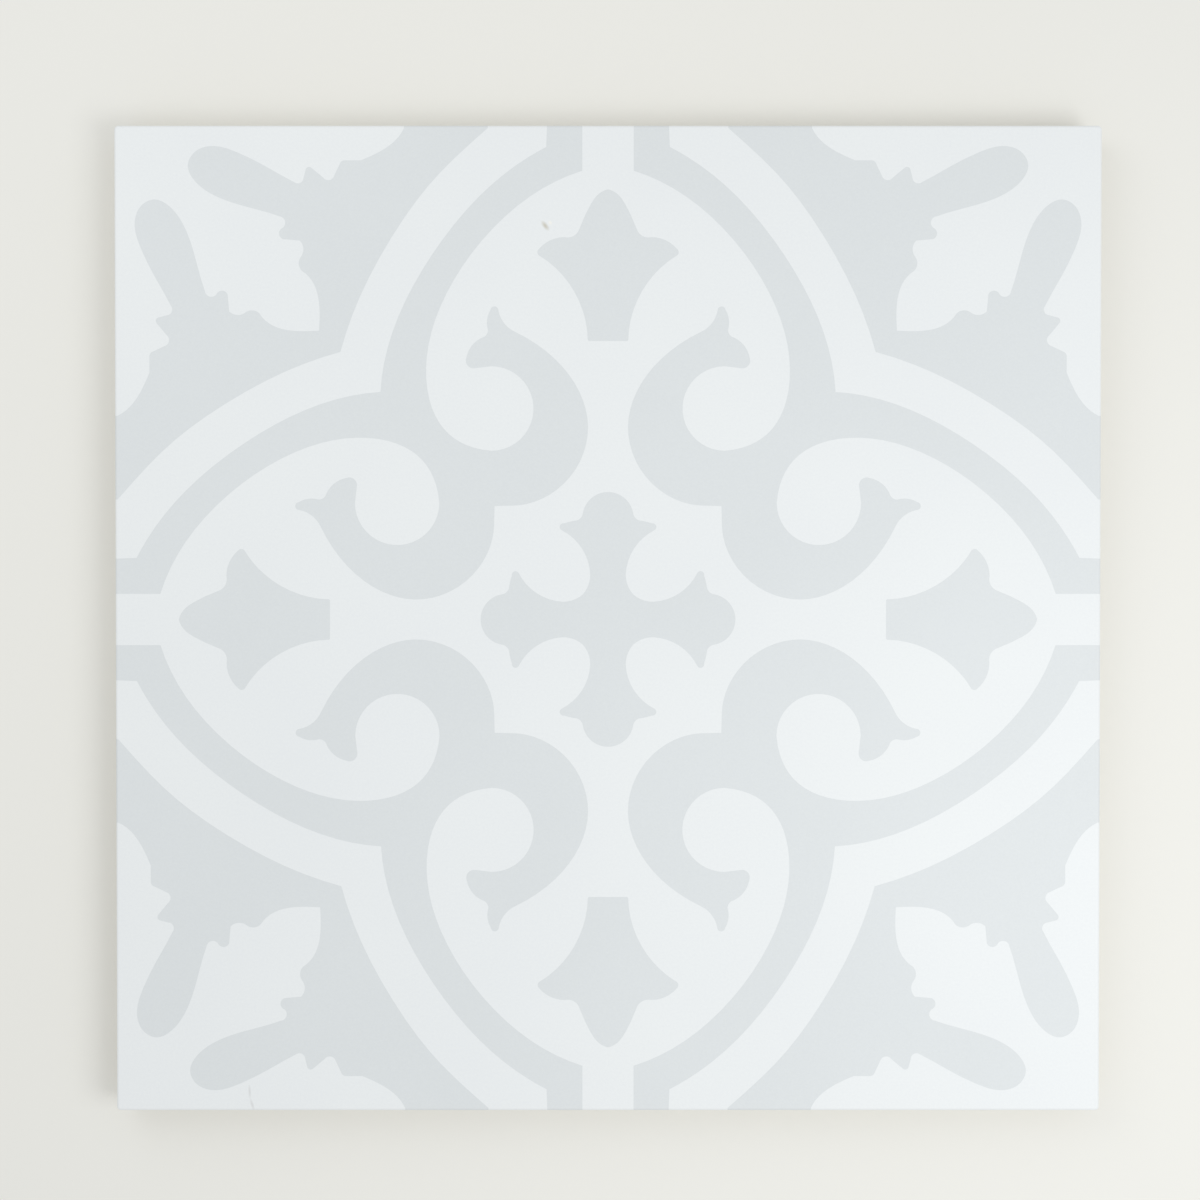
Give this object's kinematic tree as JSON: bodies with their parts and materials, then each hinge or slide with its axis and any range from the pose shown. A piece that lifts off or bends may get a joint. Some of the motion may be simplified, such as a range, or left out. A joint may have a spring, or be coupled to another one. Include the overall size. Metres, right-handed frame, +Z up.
{
  "type": "patterned floor tile",
  "caption": "Square pressed porcelain floor tile with a softened face arris, a bevelled foot, a waffle back and a flat two-tone printed quatrefoil scroll pattern on its matt face.",
  "frame": {"origin": "centre of the tile, on the plane of the raised ribs of its back", "axes": "+Z up out of the printed face, +X and +Y square to the tile's sides"},
  "size_m": [0.2, 0.2, 0.009],
  "materials": {
    "matt_porcelain": "matt glazed face printed in pale grey on white, bare fired porcelain edges and back"
  },
  "bodies": {
    "root": {"floor_tile": "matt_porcelain"}
  },
  "joints": []
}
